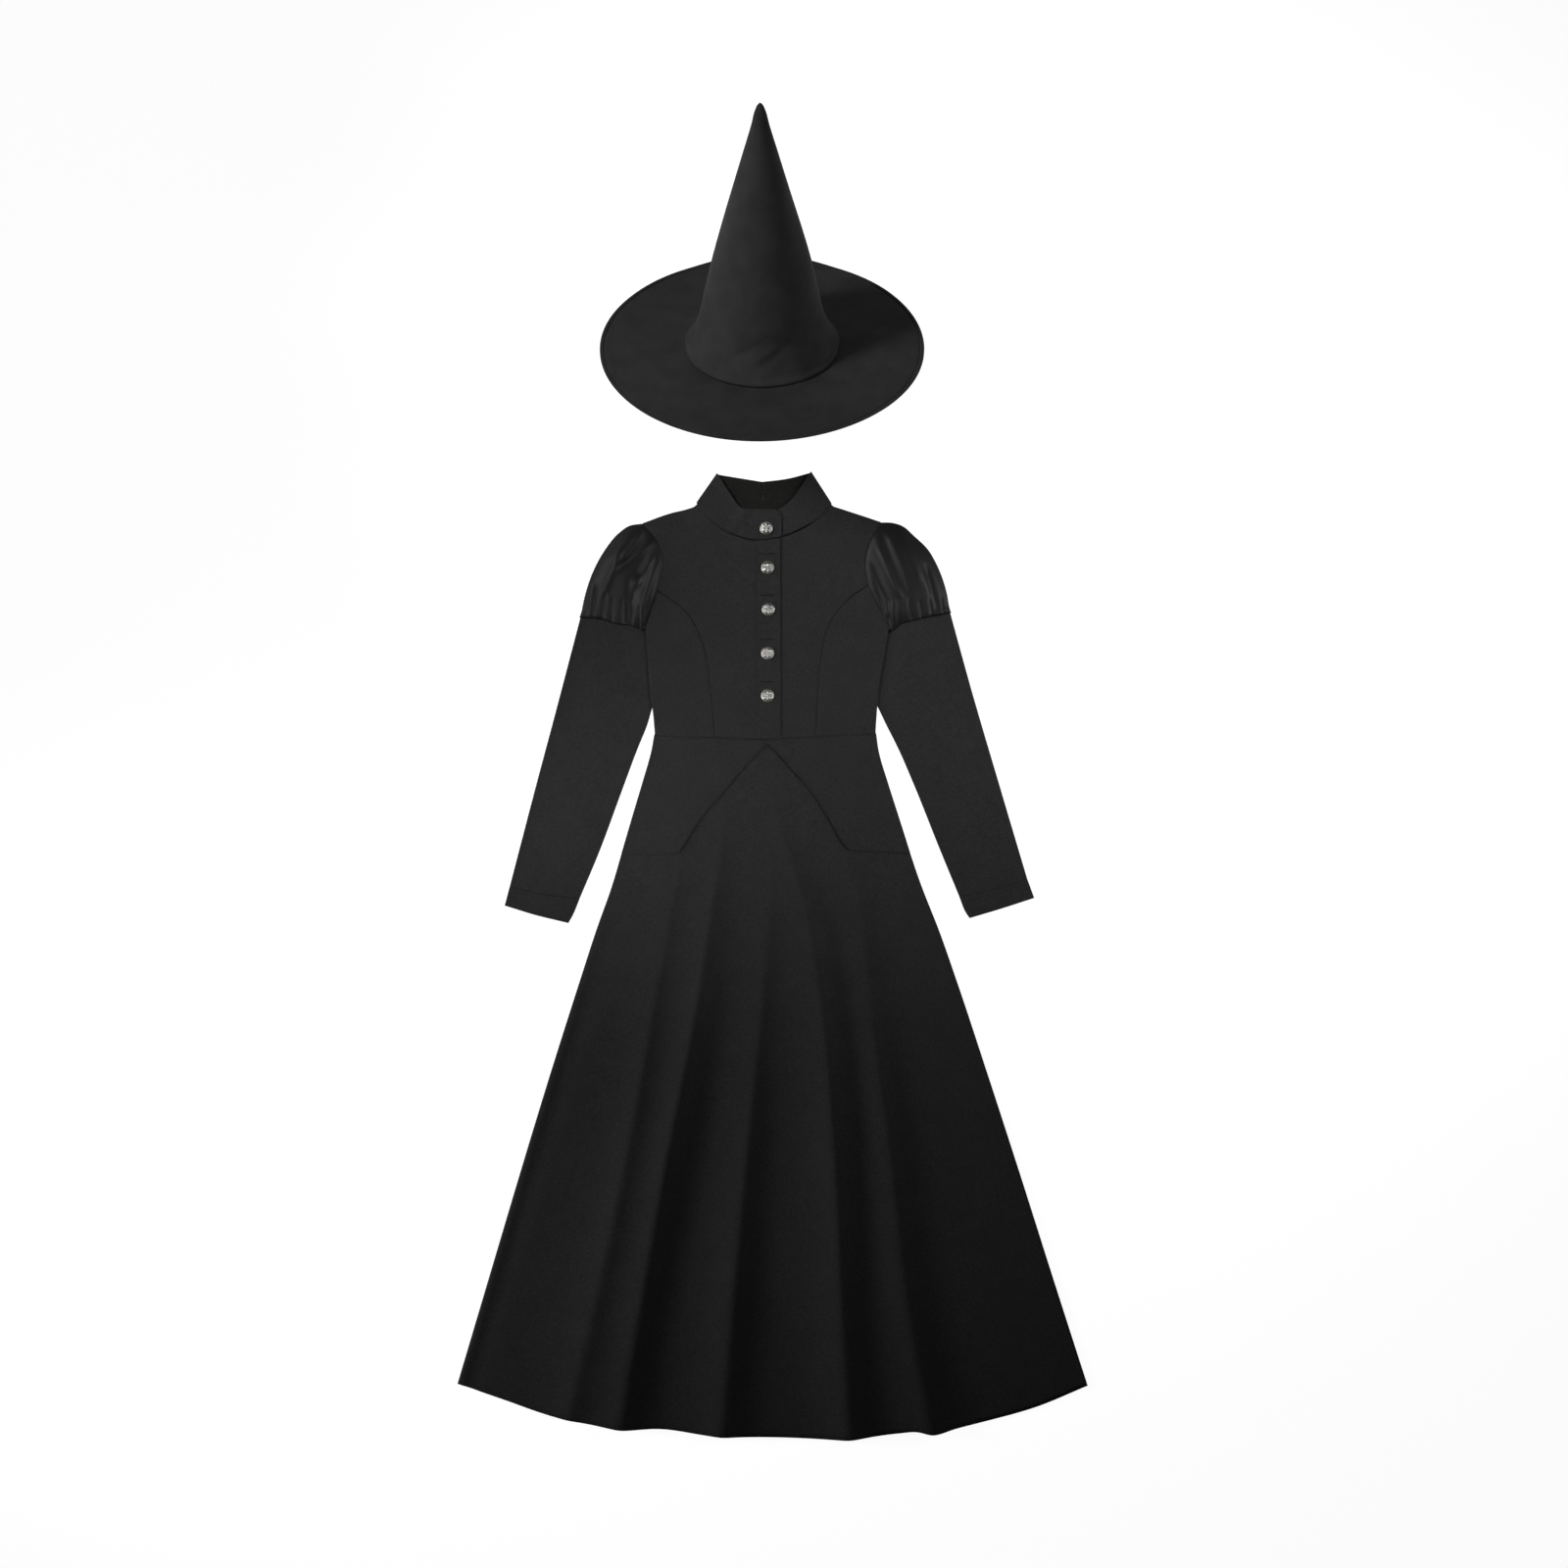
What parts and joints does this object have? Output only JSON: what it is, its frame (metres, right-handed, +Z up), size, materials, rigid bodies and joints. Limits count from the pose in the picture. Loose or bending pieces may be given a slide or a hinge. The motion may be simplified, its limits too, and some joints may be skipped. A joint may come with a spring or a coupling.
{
  "type": "witch costume",
  "caption": "Black witch costume: long-sleeved dress with stand collar, puffed shoulders, buttoned front, cutaway peplum and flared skirt, laid flat, with a tall pointed hat.",
  "frame": {"origin": "bottom centre of the bounding box, on the surface that the dress lies on", "axes": "+X to the right in the picture, +Y from the hem towards the collar and hat, +Z up, out of the dress front"},
  "size_m": [0.951, 1.8821, 0.4221],
  "materials": {
    "skirt_front": "matte suiting",
    "skirt_back": "matte suiting",
    "peplum_front_left": "matte suiting",
    "peplum_front_right": "matte suiting",
    "peplum_back": "matte suiting",
    "back_left": "matte suiting",
    "back_right": "matte suiting",
    "front_centre_left": "matte suiting",
    "front_centre_right": "matte suiting",
    "front_side_left": "matte suiting",
    "front_side_right": "matte suiting",
    "collar_left": "matte suiting",
    "collar_right": "matte suiting",
    "puff_left": "soft satin",
    "puff_right": "soft satin",
    "sleeve_left": "matte suiting",
    "sleeve_right": "matte suiting",
    "cuff_left": "matte suiting",
    "cuff_right": "matte suiting",
    "button_1": "antique silver, domed",
    "button_2": "antique silver, domed",
    "button_3": "antique silver, domed",
    "button_4": "antique silver, domed",
    "button_5": "antique silver, domed",
    "hat_brim": "smooth, faint sheen",
    "hat_crown": "smooth, faint sheen"
  },
  "bodies": {
    "root": {"skirt_front": "skirt_front", "skirt_back": "skirt_back", "peplum_front_left": "peplum_front_left", "peplum_front_right": "peplum_front_right", "peplum_back": "peplum_back", "back_left": "back_left", "back_right": "back_right", "front_centre_left": "front_centre_left", "front_centre_right": "front_centre_right", "front_side_left": "front_side_left", "front_side_right": "front_side_right", "collar_left": "collar_left", "collar_right": "collar_right", "puff_left": "puff_left", "puff_right": "puff_right", "sleeve_left": "sleeve_left", "sleeve_right": "sleeve_right", "cuff_left": "cuff_left", "cuff_right": "cuff_right", "button_1": "button_1", "button_2": "button_2", "button_3": "button_3", "button_4": "button_4", "button_5": "button_5", "hat_brim": "hat_brim", "hat_crown": "hat_crown"}
  },
  "joints": []
}
